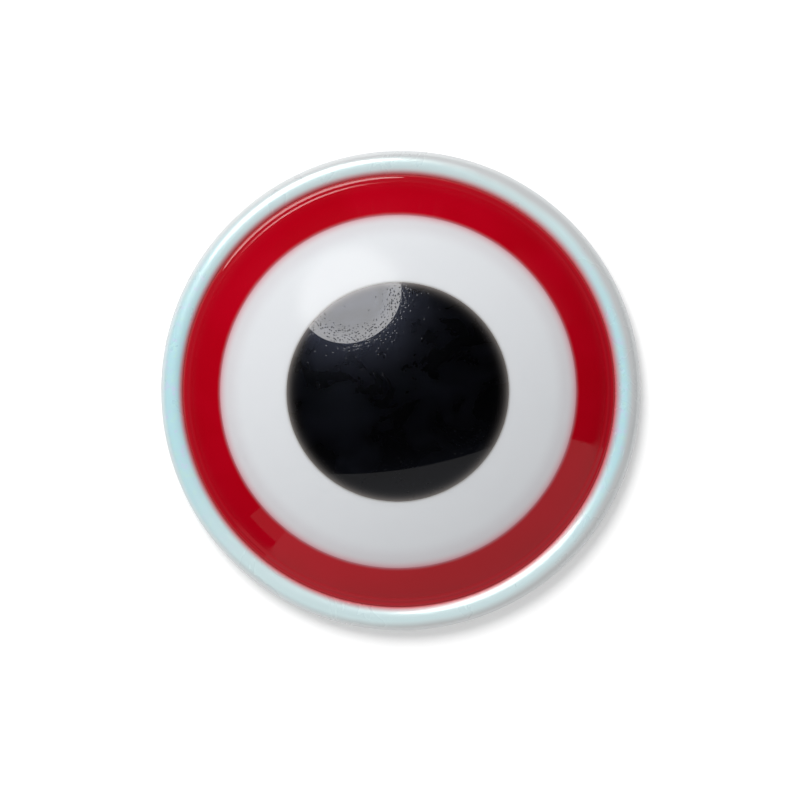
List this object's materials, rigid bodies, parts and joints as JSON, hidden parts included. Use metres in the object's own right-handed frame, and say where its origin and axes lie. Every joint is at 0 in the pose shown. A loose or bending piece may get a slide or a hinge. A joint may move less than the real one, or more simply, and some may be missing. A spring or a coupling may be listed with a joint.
{
  "type": "evil eye ornament",
  "caption": "Round evil eye souvenir: a glossy domed eye of black, white and red glass, set in a pearl-lustre dish with a rounded rim and a flat magnetic back.",
  "frame": {"origin": "centre of the round back, on the surface that the ornament lies on", "axes": "+Z out of the eye's face, away from the surface; +X to the viewer's right and +Y up as the eye is looked at"},
  "size_m": [0.06, 0.06, 0.0129],
  "materials": {
    "pearl_lustre": "glossy pearl lustre, pale aqua with faint pink and green",
    "clear_epoxy": "clear, cured",
    "red_glass": "opaque, fire polished",
    "white_opal_glass": "opal, fire polished",
    "black_glass": "opaque, fire polished, finely pitted",
    "magnet_rubber": "matt",
    "acrylic_film": "translucent film"
  },
  "bodies": {
    "root": {"pearl_base": "pearl_lustre", "eye_adhesive": "clear_epoxy", "red_glass_body": "red_glass", "white_glass_layer": "white_opal_glass", "black_glass_pupil": "black_glass", "magnet_disc": "magnet_rubber", "magnet_adhesive": "acrylic_film"}
  },
  "joints": []
}
